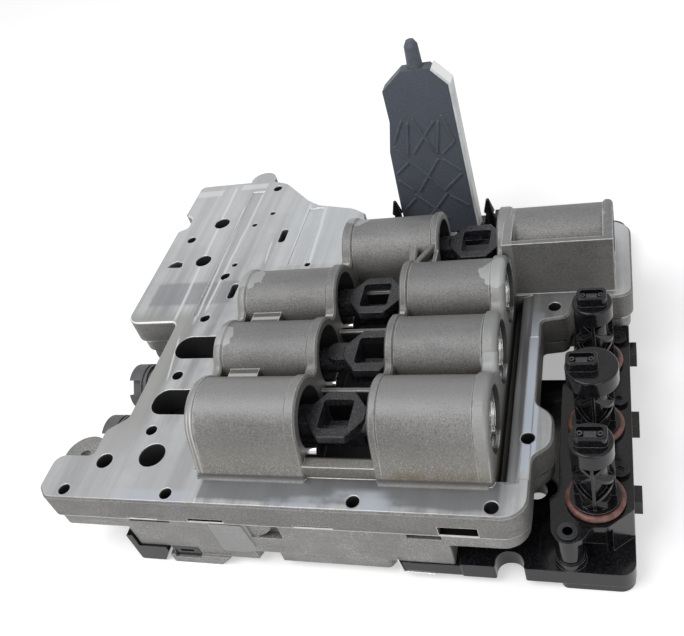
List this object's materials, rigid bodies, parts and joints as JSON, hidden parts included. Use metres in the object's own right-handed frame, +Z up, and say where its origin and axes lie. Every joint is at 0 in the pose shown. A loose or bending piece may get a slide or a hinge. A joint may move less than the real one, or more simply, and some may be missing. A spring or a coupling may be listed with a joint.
{
  "type": "transmission valve body",
  "caption": "Hydraulic valve body with stacked aluminium castings, paired half-round shift cylinders, sliding fork carriers and a black sensor module with posts and a tall tower.",
  "frame": {"origin": "middle of the bounding box in plan, on its lowest plane", "axes": "+X along the shift cylinders to the sensor module, +Y to the rear with the tall tower, +Z up out of the mounting face"},
  "size_m": [0.311, 0.288, 0.163],
  "materials": {
    "cast_aluminium": "as cast and milled, satin",
    "plate_steel": "rolled",
    "turned_steel": "turned, bright",
    "ground_steel": "ground",
    "spring_steel": "drawn",
    "screw_steel": "zinc coated",
    "can_steel": "drawn",
    "head_plastic": "moulded",
    "carrier_plastic": "rough moulded",
    "black_seal": "matte",
    "brown_seal": "matte",
    "module_plastic": "glossy, oily",
    "tower_plastic": "matte, slate grey",
    "contact_metal": "tinned, dull"
  },
  "bodies": {
    "housing": {"upper_housing": "cast_aluminium", "lower_housing": "cast_aluminium", "channel_cover": "cast_aluminium", "separator_plate": "plate_steel", "tower_plate": "plate_steel", "bore_plug_front": "turned_steel", "bore_plug_second": "turned_steel", "bore_plug_third": "turned_steel", "bore_plug_rear": "turned_steel", "valve_plug_1": "turned_steel", "valve_plug_2": "turned_steel", "valve_plug_3": "turned_steel", "detent_pins": "turned_steel", "valve_spring_1": "spring_steel", "valve_spring_2": "spring_steel", "valve_spring_3": "spring_steel", "module_screws": "screw_steel", "case_bolts": "screw_steel", "retaining_rings": "screw_steel", "module_bushing": "screw_steel", "solenoid_can_1": "can_steel", "solenoid_can_2": "can_steel", "solenoid_can_3": "can_steel", "solenoid_head_1": "head_plastic", "solenoid_head_2": "head_plastic", "solenoid_head_3": "head_plastic", "post_seal_1": "brown_seal", "post_seal_2": "brown_seal", "post_seal_3": "brown_seal", "rear_tower": "tower_plastic", "tower_pin": "tower_plastic", "module_base": "module_plastic", "module_cover": "module_plastic", "harness_clip": "module_plastic", "rear_clip_left": "module_plastic", "rear_clip_right": "module_plastic", "cable_channel": "module_plastic", "sensor_post_1": "module_plastic", "sensor_post_2": "module_plastic", "sensor_post_3": "module_plastic", "post_contacts_1": "contact_metal", "post_contacts_2": "contact_metal", "post_contacts_3": "contact_metal"},
    "carrier_front": {"shift_carrier_front": "carrier_plastic", "piston_seals_front": "black_seal"},
    "carrier_second": {"shift_carrier_second": "carrier_plastic", "piston_seals_second": "black_seal"},
    "carrier_third": {"shift_carrier_third": "carrier_plastic", "piston_seals_third": "black_seal"},
    "carrier_rear": {"shift_carrier_rear": "carrier_plastic", "piston_seals_rear": "black_seal"},
    "spool_1": {"valve_spool_1": "ground_steel"},
    "spool_2": {"valve_spool_2": "ground_steel"},
    "spool_3": {"valve_spool_3": "ground_steel"}
  },
  "joints": [
    {"name": "carrier_front_slide", "type": "slide", "parent": "housing", "child": "carrier_front", "axis": [1, 0, 0], "range_m": [-0.0045, 0.0115]},
    {"name": "carrier_second_slide", "type": "slide", "parent": "housing", "child": "carrier_second", "axis": [1, 0, 0], "range_m": [-0.014, 0.002]},
    {"name": "carrier_third_slide", "type": "slide", "parent": "housing", "child": "carrier_third", "axis": [1, 0, 0], "range_m": [-0.008, 0.008]},
    {"name": "carrier_rear_slide", "type": "slide", "parent": "housing", "child": "carrier_rear", "axis": [1, 0, 0], "range_m": [-0.008, 0.008]},
    {"name": "spool_1_slide", "type": "slide", "parent": "housing", "child": "spool_1", "axis": [1, 0, 0], "range_m": [0, 0.008], "stiffness_N_per_m": 400, "springref_m": -0.006, "deforming": ["valve_spring_1"]},
    {"name": "spool_2_slide", "type": "slide", "parent": "housing", "child": "spool_2", "axis": [1, 0, 0], "range_m": [0, 0.008], "stiffness_N_per_m": 400, "springref_m": -0.006, "deforming": ["valve_spring_2"]},
    {"name": "spool_3_slide", "type": "slide", "parent": "housing", "child": "spool_3", "axis": [1, 0, 0], "range_m": [0, 0.008], "stiffness_N_per_m": 400, "springref_m": -0.006, "deforming": ["valve_spring_3"]}
  ]
}
